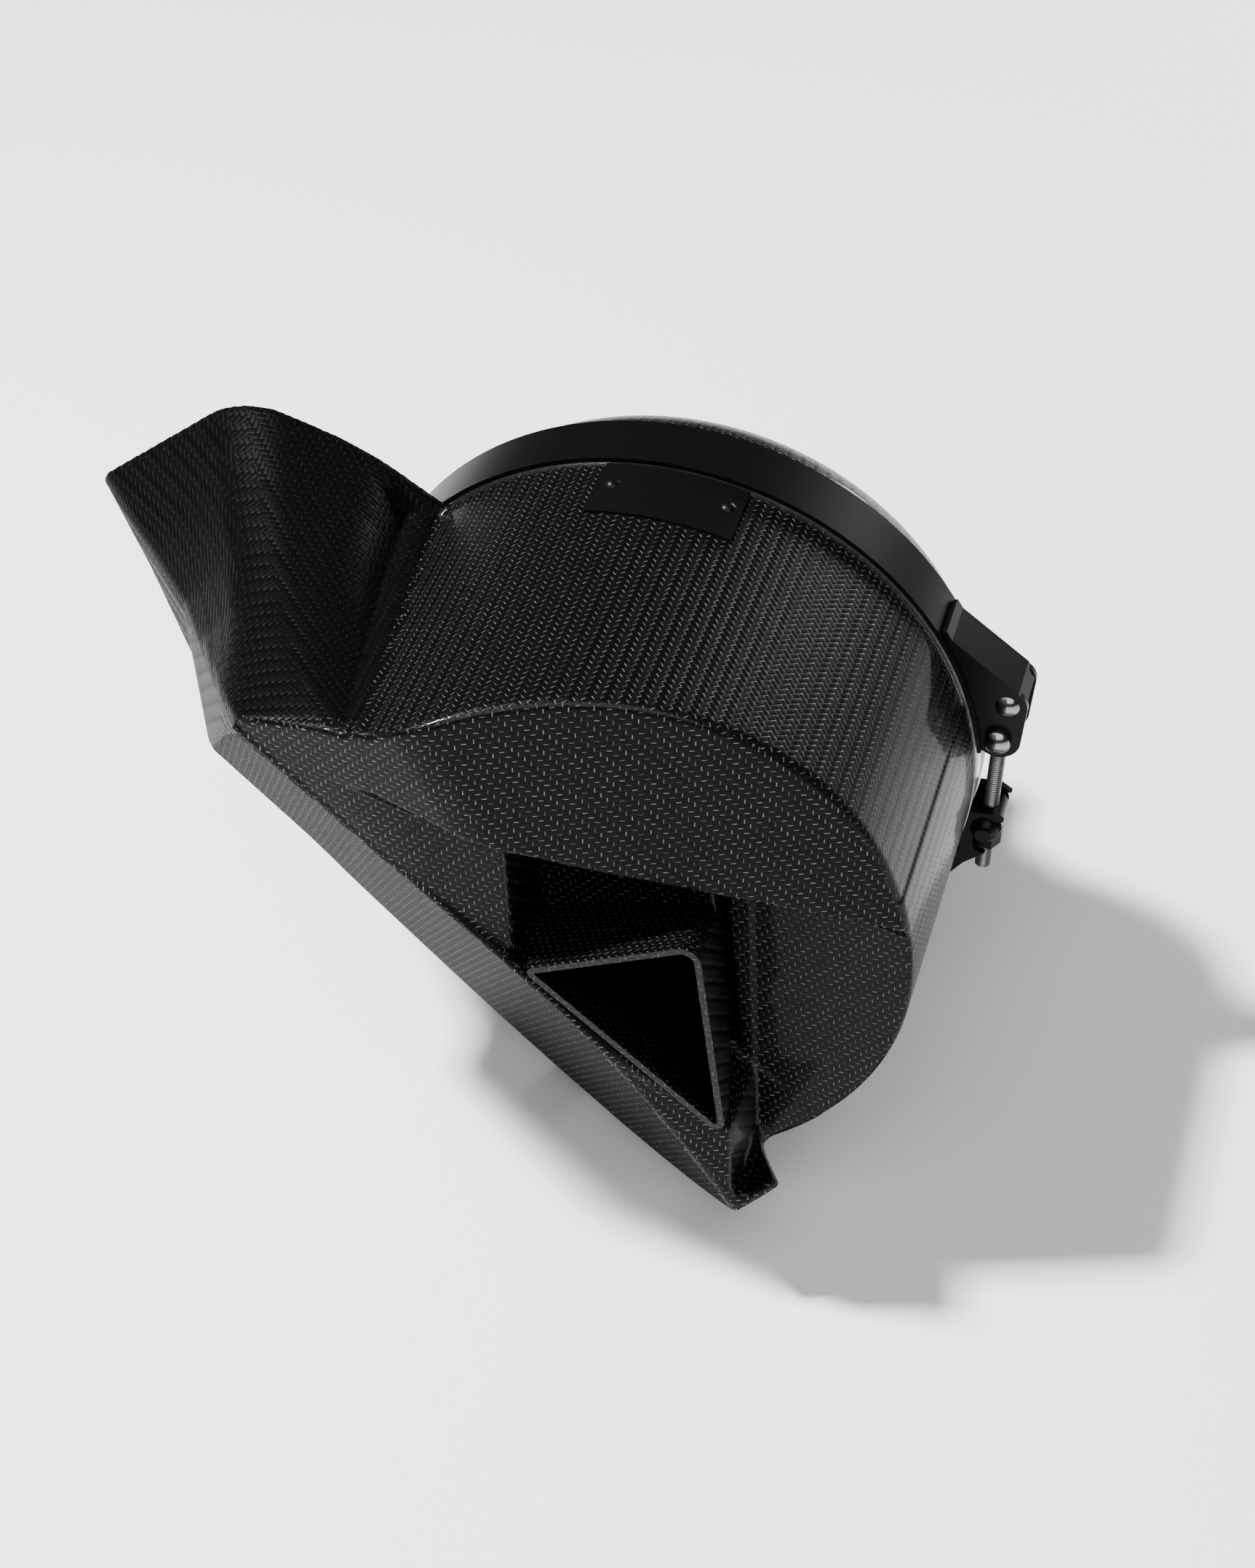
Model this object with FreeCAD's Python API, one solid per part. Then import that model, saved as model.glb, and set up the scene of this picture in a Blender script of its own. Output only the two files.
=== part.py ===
import FreeCAD, Part
import math
import os

# Air-filter housing of an engine intake, in millimetres.
# A carbon drum with a faceted front, a side scoop and a three-cornered inlet duct is closed by a domed
# rear cover. A steel band with a swinging bolt holds the two together. The cover carries the outlet
# spigot and the pleated filter. The model is drawn on the drum's axis, with y = 0 at the front edge of
# the band, y to the back and z up, and is moved at the end so that the origin is in the
# outlet spigot, at the middle of the length that the hose takes.

V = FreeCAD.Vector
os.makedirs("parts", exist_ok=True)

# ---- driving dimensions ---------------------------------------------------------------------------
DRUM_R = 120.0            # outside radius of the drum
WALL = 2.5                # carbon wall
PLATE_Y = -110.0          # outer face of the flat front plate
RIM_LENGTH = 20.0         # full ring left at the joint, ahead of the side window
BAND_W = 24.0             # width of the clamp band
BAND_T = 1.5              # thickness of the clamp band
BAND_GAP = 0.4            # play between the band and the two rims
COVER_LAP = 11.0          # part of the band's width that lies over the cover's rim
COVER_DEPTH = 62.0        # depth of the cover's dome behind the band
OUTLET_R = 38.0           # outside radius of the outlet spigot
OUTLET_WALL = 3.0
OUTLET_REACH = 38.0       # how far the spigot stands behind its flange
FILTER_R = 78.0           # outside radius of the pleats
FILTER_LENGTH = 72.0      # length of the pleated part
PLEATS = 48
FIT = 0.05                # radial clearance of a pin that turns
GAP = 0.4                 # clearance between pieces that move apart
BOLT_R = 3.0              # M6 clamp bolt
DUCT_REACH = 40.0         # how far the front duct stands out of the plate
SLOT_DEPTH = 12.0         # how far the duct reaches in behind the plate

# ---- corner points of the faceted front, which grow with the drum --------------------------------------
SIZE = DRUM_R / 120.0


def corner(x, y, z):
    """Corner point of the moulded body."""
    return V(x * SIZE, y, z * SIZE)


CREASE_LEFT = corner(-34.7, -155.2, 67.7)
CREASE_RIGHT = corner(113.4, -113.0, 19.4)
ROOF_TOP = corner(0.0, -135.9, 120.0)
SHOULDER_OUT = corner(-110.3, -140.0, 98.7)
SHOULDER_TOP = corner(-42.4, -151.4, 111.4)
SHOULDER_LOW = corner(-24.1, -151.4, 69.8)
RIB_LEFT = corner(-111.3, -140.0, 91.0)
RIB_RIGHT = corner(66.0, -150.0, -66.0)
CHIN_BACK = corner(-69.6, -56.0, -99.3)
CHEEK_Y = -143.0          # small face beside the duct
CHEEK_EDGE_X = -15.0 * SIZE      # its right-hand edge
CHEEK_TOP = corner(-43.0, 0.0, 55.0)
CHEEK_LOW = corner(-54.0, 0.0, 42.5)
POCKET_SIDE_X = 67.0 * SIZE      # right of this the front plate runs down to the drum wall

# ---- side scoop: stations along the drum, each the same seven corners -------------------------------
SCOOP_MOUTH_Y = 0.0
SCOOP_STATIONS = [
    (0.0, [(-220.0, 79.0), (-219.0, 85.0), (-155.0, 126.0), (-110.0, 111.0), (-70.0, 84.0), (-60.0, 20.0),
           (-105.0, -20.0)]),
    (-40.0, [(-186.5, 54.2), (-182.0, 77.0), (-139.0, 117.5), (-103.0, 107.0), (-70.0, 88.0), (-60.0, 20.0),
             (-105.0, -35.0)]),
    (-82.5, [(-151.0, 23.7), (-148.5, 79.0), (-124.0, 108.0), (-96.0, 103.0), (-70.0, 92.0), (-60.0, 20.0),
             (-105.0, -48.0)]),
    (-160.0, [(-98.0, -20.0), (-98.0, 98.0), (-90.0, 100.0), (-82.0, 99.0), (-70.0, 96.0), (-60.0, 20.0),
              (-80.0, -40.0)]),
]
SCOOP = [(y, [(x * SIZE, z * SIZE) for x, z in corners]) for y, corners in SCOOP_STATIONS]

# ---- front duct: corners of the mouth and of the wider root where it leaves the plate ------------------
DUCT_MOUTH = [(-10.5 * SIZE, 8.6 * SIZE), (54.6 * SIZE, 34.6 * SIZE), (62.4 * SIZE, -60.6 * SIZE)]
DUCT_ROOT = [(-26.9 * SIZE, 0.3 * SIZE), (49.8 * SIZE, 17.0 * SIZE), (55.5 * SIZE, -82.5 * SIZE)]
DUCT_CORNER_RS = [3.0, 6.5, 3.5]

# ---- clamp: places of the two cross pins and of the bolt, looking along the axis --------------------
PIN_OUT = 5.6             # how far the upper pin stands out of the band
PIN_Z = 15.0
BARREL_DROP = 46.0        # from the upper pin down to the lower barrel
BOLT_LEAN = 4.5           # degrees that the bolt leans in towards the drum
EAR_T = 2.5
EAR_Y = [2.0, BAND_W - 2.0 - EAR_T]
PIN_R = 4.0
BARREL_R = 6.0
JOURNAL_R = 3.2           # necks of the barrel in the lower jaws
NUT_AF = 10.0
NUT_H = 8.0
BOLT_TAIL = 12.0
NUT_TRAVEL = 8.0          # how far the nut lets the barrel down the bolt
JAW_ROOM = 0.8            # room above the barrel while the bolt swings out
RIVET_OUT = 8.6
RIVET_Z = 31.0
RIVET_R = 2.5
RIVET_HEAD_R = 4.6
CAP_DOME_R = 6.2
STRAP_T = 2.0
BAND_OPEN = (86.0, 110.0) # degrees, clockwise from the top
UPPER_STRAP = (60.0, 76.0)
LOWER_STRAP = (117.0, 130.0)

# ---- rims, cover, outlet and filter -------------------------------------------------------------------
RIM_T = 3.0
RIM_SOCKET = 12.0
SEAL_T = 1.6
COVER_EDGE = 1.5
SCREWS = 6
SCREW_R = 2.5
SCREW_HOLE_R = 2.75
SCREW_HEAD_R = 4.2
SCREW_HEAD_H = 5.0
NUT_T = 4.0
GASKET_T = 1.0
FLANGE_T = 4.0
HOSE_LENGTH = 30.0        # straight part of the spigot that the hose grips
LEAD_IN = 1.2             # how much the spigot narrows from there to its open end
NECK_LENGTH = 40.0        # how far the spigot reaches into the cover
BASE_T = 14.0
COLLAR_T = 4.0
COLLAR_L = 12.0
PLEAT_DEPTH = 16.0
MESH_DEPTH = 21.0         # from the pleats' outside in to the inner mesh
CAP_T = 12.0
WORM_BAND_T = 0.8
WORM_R = 3.0

# ---- bead, badge and stays -----------------------------------------------------------------------------
BEAD_R = 8.0
BEAD_BACK = corner(-83.5, 0.0, 91.0)
BEAD_FRONT = corner(-70.0, -150.0, 101.0)
BADGE_T = 1.2
BADGE_Y = (-30.0, -1.0)
BADGE_ANGLES = (-8.0, 17.5)
BADGE_RIVETS = (-5.5, 15.0)
BADGE_RIVET_Y = -13.0
STAY_ANGLES = (150.0, 190.0)
STAY_Y = (-40.0, -22.0)
STAY_T = 3.0
STAY_W = 26.0
STAY_EYE_OUT = 17.0
GROMMET_R = 8.0
SLEEVE_R = 5.0
SLEEVE_BORE_R = 3.25      # clear of an M6 screw
SLEEVE_L = 12.0

Y_AXIS = V(0, 1, 0)
RIM_R = DRUM_R + 1.0
BAND_IN = RIM_R + BAND_GAP
BAND_OUT = BAND_IN + BAND_T
BAND_MID_Y = BAND_W / 2
PIN_X = BAND_OUT + PIN_OUT
RIVET_X = BAND_OUT + RIVET_OUT
STAY_EYE_R = DRUM_R + STAY_EYE_OUT
MESH_R = FILTER_R - MESH_DEPTH
COVER_START = BAND_W - COVER_LAP
COVER_R = DRUM_R - 2.0
FLANGE_R = OUTLET_R + 16.0
COVER_HOLE_R = OUTLET_R + 0.5
SCREW_CIRCLE_R = OUTLET_R + 8.5
SEAL_Y = COVER_START - SEAL_T


def dome_y(radius, depth, edge_r):
    """Height of the cover's dome over its edge at a radius."""
    return depth * math.sqrt(max(0.0, 1 - (radius / edge_r) ** 2))


FLANGE_Y = BAND_W + dome_y(FLANGE_R, COVER_DEPTH, COVER_R)
FLANGE_FACE = FLANGE_Y + GASKET_T + FLANGE_T
OUTLET_END = FLANGE_FACE + OUTLET_REACH
ORIGIN_Y = FLANGE_FACE + HOSE_LENGTH / 2
NECK_Y = FLANGE_Y - NECK_LENGTH
COLLAR_END = FLANGE_Y - WALL - NUT_T - 2
BASE_Y = COLLAR_END - COLLAR_L - BASE_T
FILTER_FRONT = BASE_Y - FILTER_LENGTH
BARREL_AT = (PIN_X - BARREL_DROP * math.sin(math.radians(BOLT_LEAN)),
             PIN_Z - BARREL_DROP * math.cos(math.radians(BOLT_LEAN)))
NUT_START = BARREL_DROP + BARREL_R + 0.1
BOLT_END = NUT_START + NUT_H + BOLT_TAIL


# ---- tools ------------------------------------------------------------------------------------------
def half_space(point, normal, size=1200.0):
    """Everything behind a plane, on the side away from its normal."""
    box = Part.makeBox(size, size, size, V(-size / 2, -size / 2, -size))
    box.Placement = FreeCAD.Placement(point, FreeCAD.Rotation(V(0, 0, 1), normal))
    return box


def plane_normal(a, b, c, outside):
    """Unit normal of the plane through three points, on the side of the point outside."""
    normal = (b - a).cross(c - a).normalize()
    if normal.dot(outside - a) < 0:
        normal = normal * -1
    return normal


def rod(radius, y0, y1, x=0.0, z=0.0):
    """Round bar along the drum's axis."""
    return Part.makeCylinder(radius, y1 - y0, V(x, y0, z), Y_AXIS)


def pipe(outer, inner, y0, y1, x=0.0, z=0.0):
    """Round tube along the drum's axis."""
    return rod(outer, y0, y1, x, z).cut(rod(inner, y0 - 1, y1 + 1, x, z))


def turned(profile):
    """Ring turned about the drum's axis from corners (radius, y)."""
    points = [V(r, y, 0) for r, y in profile]
    face = Part.Face(Part.makePolygon(points + [points[0]]))
    return face.revolve(V(0, 0, 0), Y_AXIS, 360)


def prism(corners, y0, y1):
    """Straight block along the axis with corners (x, z)."""
    points = [V(x, y0, z) for x, z in corners]
    return Part.Face(Part.makePolygon(points + [points[0]])).extrude(V(0, y1 - y0, 0))


def at_angle(degrees, radius):
    """Point (x, z) on a circle, degrees clockwise from the top, as seen from the front."""
    a = math.radians(degrees)
    return radius * math.sin(a), radius * math.cos(a)


def inset_polygon(corners, amount):
    """Polygon (x, z) moved in by an amount on every side."""
    count = len(corners)
    area = sum(corners[i][0] * corners[(i + 1) % count][1] - corners[(i + 1) % count][0] * corners[i][1]
               for i in range(count))
    sign = 1.0 if area > 0 else -1.0
    moved = []
    for i in range(count):
        x0, z0 = corners[i - 1]
        x1, z1 = corners[i]
        x2, z2 = corners[(i + 1) % count]
        ax, az = x1 - x0, z1 - z0
        bx, bz = x2 - x1, z2 - z1
        la, lb = math.hypot(ax, az), math.hypot(bx, bz)
        nax, naz = -az / la * sign, ax / la * sign
        nbx, nbz = -bz / lb * sign, bx / lb * sign
        mx, mz = nax + nbx, naz + nbz
        scale = amount * 2 / (mx * mx + mz * mz)
        moved.append((x1 + mx * scale, z1 + mz * scale))
    return moved


def largest(shape):
    """The biggest solid of a cut, as a shape of its own."""
    return max(shape.Solids, key=lambda solid: solid.Volume)


def joined(shapes):
    """Several touching shapes as one clean solid."""
    whole = shapes[0].fuse(shapes[1:]) if len(shapes) > 1 else shapes[0]
    return whole.removeSplitter()


def group(shapes):
    """Separate solids kept in one node."""
    return Part.makeCompound(shapes)


# ---- planes of the front ------------------------------------------------------------------------------
FRONT = V(0, -400, 0)
ROOF_N = plane_normal(CREASE_LEFT, CREASE_RIGHT, ROOF_TOP, FRONT)
SHOULDER_N = plane_normal(SHOULDER_OUT, SHOULDER_TOP, SHOULDER_LOW, FRONT)
CHIN_N = plane_normal(RIB_LEFT, RIB_RIGHT, CHIN_BACK, FRONT)
CREASE_N = (CREASE_RIGHT - CREASE_LEFT).cross(Y_AXIS).normalize()
if CREASE_N.z < 0:
    CREASE_N = CREASE_N * -1
RIB_N = (RIB_RIGHT - RIB_LEFT).cross(Y_AXIS).normalize()
if RIB_N.z > 0:
    RIB_N = RIB_N * -1
CHEEK_N = (CHEEK_TOP - CHEEK_LOW).cross(Y_AXIS).normalize()
if CHEEK_N.x > 0:
    CHEEK_N = CHEEK_N * -1


def behind_front(shape, inset):
    """Part of a shape behind the roof, shoulder and chin planes, each moved in by inset."""
    for point, normal in ((CREASE_LEFT, ROOF_N), (SHOULDER_OUT, SHOULDER_N), (RIB_LEFT, CHIN_N)):
        shape = shape.common(half_space(point - normal * inset, normal))
    return shape


def plate_pocket(grow):
    """Space ahead of the flat front plate: under the crease and beyond the rib."""
    space = half_space(V(0, PLATE_Y + grow, 0), V(0, 1, 0))
    space = space.common(half_space(CREASE_LEFT + CREASE_N * grow, CREASE_N))
    space = space.common(half_space(V(CHEEK_EDGE_X - grow, 0, 0), V(-1, 0, 0)))
    above_rib = space.common(half_space(RIB_LEFT + RIB_N * grow, RIB_N))
    right_side = space.common(half_space(V(POCKET_SIDE_X - grow, 0, 0), V(-1, 0, 0)))
    return above_rib, right_side


def cheek_pocket(grow):
    """Shallow space ahead of the small face beside the duct."""
    space = half_space(V(0, CHEEK_Y + grow, 0), V(0, 1, 0))
    space = space.common(half_space(CREASE_LEFT + CREASE_N * grow, CREASE_N))
    space = space.common(half_space(RIB_LEFT + RIB_N * grow, RIB_N))
    return space.common(half_space(CHEEK_LOW + CHEEK_N * grow, CHEEK_N))


def drum_volume(inset, back):
    """Body of the drum and its faceted front, every face moved in by inset."""
    body = behind_front(rod(DRUM_R - inset, -220, back), inset)
    above_rib, right_side = plate_pocket(inset)
    body = body.cut(above_rib)
    body = body.cut(right_side)
    return body.cut(cheek_pocket(inset))


def scoop_volume(inset, back):
    """Body of the side scoop, every face moved in by inset."""
    wires = []
    stations = [(y, inset_polygon(corners, inset)) for y, corners in SCOOP]
    stations[0] = (back, stations[0][1])
    for y, corners in stations:
        points = [V(x, y, z) for x, z in corners]
        wires.append(Part.makePolygon(points + [points[0]]))
    return behind_front(Part.makeLoft(wires, True, True), inset)


def duct_volume(inset, y0, y1):
    """Three-cornered tapering duct between two places on the axis, moved in by inset."""
    wires = []
    for y in (y0, y1):
        t = (y - PLATE_Y) / DUCT_REACH + 1
        corners = [(mx + (rx - mx) * t, mz + (rz - mz) * t) for (mx, mz), (rx, rz) in zip(DUCT_MOUTH, DUCT_ROOT)]
        wires.append(rounded_wire(inset_polygon(corners, inset), y, [r - inset for r in DUCT_CORNER_RS]))
    return Part.makeLoft(wires, True, True)


def rounded_wire(corners, y, radii):
    """Closed outline (x, z) at a place on the axis, with an arc at each corner."""
    edges = []
    starts = []
    ends = []
    count = len(corners)
    for i in range(count):
        p0, p1, p2 = (V(corners[j % count][0], y, corners[j % count][1]) for j in (i - 1, i, i + 1))
        u = (p0 - p1).normalize()
        w = (p2 - p1).normalize()
        half = math.acos(u.dot(w)) / 2
        radius = radii[i]
        reach = radius / math.tan(half)
        bisector = (u + w).normalize()
        middle = p1 + bisector * (radius / math.sin(half) - radius)
        starts.append(p1 + u * reach)
        ends.append(p1 + w * reach)
        edges.append(Part.Arc(starts[-1], middle, ends[-1]).toShape())
    outline = []
    for i in range(count):
        outline.append(edges[i])
        outline.append(Part.LineSegment(ends[i], starts[(i + 1) % count]).toShape())
    return Part.Wire(outline)


# ---- carbon shells --------------------------------------------------------------------------------------
def carbon_shells():
    """Drum halves, cowl, cheek, chin, front plate and scoop halves, all cut from two hollow bodies."""
    outer = drum_volume(0, 0)
    inner = drum_volume(WALL, 10)
    hollow = outer.cut(inner)
    core = rod(DRUM_R - WALL, -220, 10)
    wall_ring = hollow.cut(core)
    panels = hollow.common(core)

    scoop_out = scoop_volume(0, SCOOP_MOUTH_Y)
    scoop_in = scoop_volume(WALL, SCOOP_MOUTH_Y + 1)
    window = scoop_in.common(prism([(-400, -400), (0, -400), (0, 400), (-400, 400)], -220, -RIM_LENGTH))
    wall_ring = wall_ring.cut(window)
    panels = panels.cut(window.common(half_space(V(0, PLATE_Y, 0), V(0, -1, 0))))

    seam = V(math.cos(math.radians(75)), 0, -math.sin(math.radians(75)))
    upper_ring = wall_ring.cut(half_space(V(0, 0, 0), seam * -1))
    lower_ring = wall_ring.common(half_space(V(0, 0, 0), seam * -1))

    above_rib, right_side = plate_pocket(0)
    deep = rod(DRUM_R, PLATE_Y, PLATE_Y + WALL)
    plate_zone = joined([outline_of(above_rib).common(deep), outline_of(right_side).common(deep)])
    front_plate = panels.common(plate_zone)
    rest = panels.cut(plate_zone)
    chin_zone = half_space(RIB_LEFT - CHIN_N * WALL, CHIN_N * -1)
    chin_zone = chin_zone.common(half_space(RIB_LEFT, RIB_N * -1))
    chin = rest.common(chin_zone)
    rest = rest.cut(chin_zone)
    cowl_zone = half_space(CREASE_LEFT, CREASE_N * -1)
    cowl = rest.common(cowl_zone)
    cheek = rest.cut(cowl_zone)

    scoop = scoop_out.cut(scoop_in).cut(rod(DRUM_R, -220, 10))
    edge_low = V(SCOOP[0][1][0][0], 0, SCOOP[0][1][0][1] - 2)
    knee = V(SCOOP[2][1][0][0], SCOOP[2][0], SCOOP[2][1][0][1] + 1)
    lower_n = plane_normal(edge_low, knee, V(-80, -40, 20), V(0, 0, -900))
    scoop_top = scoop.common(half_space(edge_low, lower_n))
    scoop_under = scoop.cut(half_space(edge_low, lower_n))
    return {
        "drum_upper_shell": upper_ring,
        "drum_lower_shell": lower_ring,
        "front_plate": front_plate,
        "chin_panel": chin,
        "front_cowl": cowl,
        "cheek_panel": cheek,
        "scoop_top_shell": scoop_top,
        "scoop_under_shell": scoop_under,
    }


def outline_of(pocket):
    """The pocket's outline run on backwards, past the front plate."""
    moved = pocket.copy()
    moved.translate(V(0, 3 * WALL, 0))
    return moved


def valley_bead():
    """Round rail laid in the valley between the drum and the scoop."""
    along = BEAD_FRONT - BEAD_BACK
    bar = Part.makeCylinder(BEAD_R, along.Length, BEAD_BACK, along)
    bar = bar.cut(rod(DRUM_R, -220, 20))
    bar = bar.cut(scoop_volume(0, SCOOP_MOUTH_Y + 20)).common(half_space(V(0, -GAP, 0), Y_AXIS))
    return largest(behind_front(bar, 0))


def inlet_duct():
    """Three-cornered duct that stands out of the front plate."""
    y0 = PLATE_Y - DUCT_REACH
    y1 = PLATE_Y + SLOT_DEPTH
    return duct_volume(0, y0, y1).cut(duct_volume(WALL, y0 - 1, y1 + 1))


# ---- joint and cover ---------------------------------------------------------------------------------
def drum_rim():
    """Aluminium ring bonded into the drum, with the flange that the band grips."""
    inner = DRUM_R - WALL
    return turned([(inner - RIM_T, -RIM_SOCKET), (inner, -RIM_SOCKET), (inner, 0), (RIM_R, 0),
                   (RIM_R, SEAL_Y), (inner - RIM_T, SEAL_Y)])


def joint_seal():
    """Flat rubber ring between the two rims."""
    return pipe(RIM_R - 1.5, DRUM_R - WALL - 1, SEAL_Y, COVER_START - GAP)


def rear_cover():
    """Carbon dome with a rim under the band and a flat seat for the outlet flange."""
    outer = Part.Ellipse(V(0, BAND_W, 0), COVER_R, COVER_DEPTH)
    inner = Part.Ellipse(V(0, BAND_W, 0), COVER_R - WALL, COVER_DEPTH - WALL)
    outer_end = math.acos(FLANGE_R / COVER_R)
    seat_in = FLANGE_Y - WALL - BAND_W
    inner_end = math.asin(seat_in / (COVER_DEPTH - WALL))
    inner_r = (COVER_R - WALL) * math.cos(inner_end)
    points = [V(COVER_R - WALL, BAND_W, 0), V(COVER_R - WALL, COVER_START, 0), V(RIM_R, COVER_START, 0),
              V(RIM_R, BAND_W - COVER_EDGE, 0), V(COVER_R, BAND_W, 0)]
    seat = [V(FLANGE_R, FLANGE_Y, 0), V(COVER_HOLE_R, FLANGE_Y, 0), V(COVER_HOLE_R, FLANGE_Y - WALL, 0),
            V(inner_r, FLANGE_Y - WALL, 0)]
    edges = [Part.LineSegment(a, b).toShape() for a, b in zip(points, points[1:])]
    edges.append(Part.ArcOfEllipse(outer, 0, outer_end).toShape())
    edges += [Part.LineSegment(a, b).toShape() for a, b in zip(seat, seat[1:])]
    edges.append(Part.ArcOfEllipse(inner, 0, inner_end).toShape())
    face = Part.Face(Part.Wire(Part.__sortEdges__(edges)))
    dome = face.revolve(V(0, 0, 0), Y_AXIS, 360)
    return dome.cut(group(screw_bars(SCREW_HOLE_R, FLANGE_Y - 10, FLANGE_Y + 10)))


def screw_places():
    """Places (x, z) of the screws around the outlet flange."""
    return [at_angle(30 + i * 360 / SCREWS, SCREW_CIRCLE_R) for i in range(SCREWS)]


def screw_bars(radius, y0, y1):
    """One bar for each flange screw."""
    return [rod(radius, y0, y1, x, z) for x, z in screw_places()]


def outlet_gasket():
    """Thin gasket under the outlet flange."""
    ring = pipe(FLANGE_R - 1, COVER_HOLE_R, FLANGE_Y, FLANGE_Y + GASKET_T)
    return ring.cut(group(screw_bars(SCREW_HOLE_R, FLANGE_Y - 1, FLANGE_Y + 2)))


def outlet_spigot():
    """Aluminium outlet: neck for the filter, flange, hose length and tapered end."""
    inner = OUTLET_R - OUTLET_WALL
    face = FLANGE_FACE
    body = turned([(inner, NECK_Y), (OUTLET_R, NECK_Y), (OUTLET_R, face - FLANGE_T), (FLANGE_R - 1, face - FLANGE_T),
                   (FLANGE_R - 1, face), (OUTLET_R, face), (OUTLET_R, face + HOSE_LENGTH),
                   (OUTLET_R - LEAD_IN, OUTLET_END), (inner, OUTLET_END)])
    return body.cut(group(screw_bars(SCREW_HOLE_R, FLANGE_Y - 1, face + 1)))


def outlet_screws():
    """Cap screws around the outlet flange."""
    screws = []
    for x, z in screw_places():
        head = rod(SCREW_HEAD_R, FLANGE_FACE, FLANGE_FACE + SCREW_HEAD_H, x, z)
        socket = prism([(x + 2.3 * math.cos(math.radians(a)), z + 2.3 * math.sin(math.radians(a)))
                        for a in range(0, 360, 60)], FLANGE_FACE + 2, FLANGE_FACE + SCREW_HEAD_H + 1)
        shank = rod(SCREW_R, FLANGE_Y - WALL - NUT_T - 1, FLANGE_FACE, x, z)
        screws.append(joined([head, shank]).cut(socket))
    return group(screws)


def outlet_nuts():
    """Hexagon nuts inside the cover."""
    nuts = []
    top = FLANGE_Y - WALL
    for x, z in screw_places():
        hexagon = prism([(x + 4.6 * math.cos(math.radians(a)), z + 4.6 * math.sin(math.radians(a)))
                         for a in range(0, 360, 60)], top - NUT_T, top)
        nuts.append(hexagon.cut(rod(SCREW_R + FIT, top - NUT_T - 1, top + 1, x, z)))
    return group(nuts)


# ---- filter ----------------------------------------------------------------------------------------------
def filter_pleats():
    """Folded filter medium between the base and the end cap."""
    corners = []
    step = 2 * math.pi / PLEATS
    for i in range(PLEATS):
        for radius, shift in ((FILTER_R, 0.0), (FILTER_R - PLEAT_DEPTH, 0.5)):
            a = (i + shift) * step
            corners.append((radius * math.cos(a), radius * math.sin(a)))
    pack = prism(corners, FILTER_FRONT, BASE_Y)
    return pack.cut(rod(MESH_R, FILTER_FRONT - 1, BASE_Y + 1))


def filter_inner_mesh():
    """Perforated support tube inside the pleats, without its holes."""
    return pipe(MESH_R, MESH_R - 1, FILTER_FRONT, BASE_Y)


def filter_end_cap():
    """Moulded front cap of the filter."""
    cap = rod(FILTER_R, FILTER_FRONT - CAP_T, FILTER_FRONT)
    dish = rod(FILTER_R - 22, FILTER_FRONT - CAP_T - 1, FILTER_FRONT - CAP_T + 5)
    return cap.cut(dish)


def filter_base():
    """Rubber base with the collar that slides on the outlet's neck."""
    bore = OUTLET_R + FIT
    return turned([(bore, BASE_Y), (FILTER_R + 1, BASE_Y), (FILTER_R + 1, BASE_Y + BASE_T),
                   (bore + COLLAR_T, BASE_Y + BASE_T), (bore + COLLAR_T, COLLAR_END), (bore, COLLAR_END)])


def filter_clamp():
    """Worm-drive clamp on the collar: band, screw housing and screw."""
    inner = OUTLET_R + FIT + COLLAR_T
    y0 = BASE_Y + BASE_T + 1
    y1 = COLLAR_END - 1
    band = pipe(inner + WORM_BAND_T, inner, y0, y1)
    seat = inner + WORM_BAND_T
    bar_z = seat + WORM_R + 0.5
    middle = (y0 + y1) / 2
    half = (y1 - y0) / 2 - 0.5
    block = Part.makeBox(14, 2 * half, WORM_R * 2 + 3, V(-7, middle - half, seat - 0.8))
    block = block.cut(rod(seat, y0 - 1, y1 + 1))
    bore = Part.makeCylinder(WORM_R + FIT, 40, V(-20, middle, bar_z + 0.6), V(1, 0, 0))
    block = largest(block.cut(bore))
    screw = Part.makeCylinder(WORM_R, 18, V(-8, middle, bar_z + 0.6), V(1, 0, 0))
    head = Part.makeCylinder(WORM_R + 1.2, 4, V(7.4, middle, bar_z + 0.6), V(1, 0, 0))
    slot = Part.makeBox(2, 1.2, 12, V(9.9, middle - 0.6, bar_z - 5))
    return band, block, joined([screw, head]).cut(slot)


# ---- band clamp ----------------------------------------------------------------------------------------------
def sector(start, end, y0, y1, reach=200.0):
    """Wedge between two angles, clockwise from the top as seen from the front."""
    steps = max(2, int((end - start) / 30) + 2)
    angles = [start + (end - start) * i / (steps - 1) for i in range(steps)]
    return prism([(0, 0)] + [at_angle(a, reach) for a in angles], y0, y1)


def clamp_band():
    """Spring-steel band around both rims, open at the bolt."""
    ring = pipe(BAND_OUT, BAND_IN, 0, BAND_W)
    return ring.cut(sector(BAND_OPEN[0], BAND_OPEN[1], -1, BAND_W + 1))


def ear_plate(outline, y0):
    """One flat ear of a clamp bracket."""
    return prism(outline, y0, y0 + EAR_T)


def bracket(strap_angles, outline, extras):
    """Strap spot-welded on the band, with two ears that carry a cross pin."""
    strap = pipe(BAND_OUT + STRAP_T, BAND_OUT, EAR_Y[0], EAR_Y[1] + EAR_T)
    pieces = [strap.common(sector(strap_angles[0], strap_angles[1], -1, BAND_W + 1))]
    for y0 in EAR_Y:
        pieces.append(ear_plate(outline, y0).cut(rod(BAND_OUT, -1, BAND_W + 1)))
        for x, z, radius in extras:
            pieces.append(rod(radius, y0, y0 + EAR_T, x, z))
    return joined(pieces)


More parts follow.
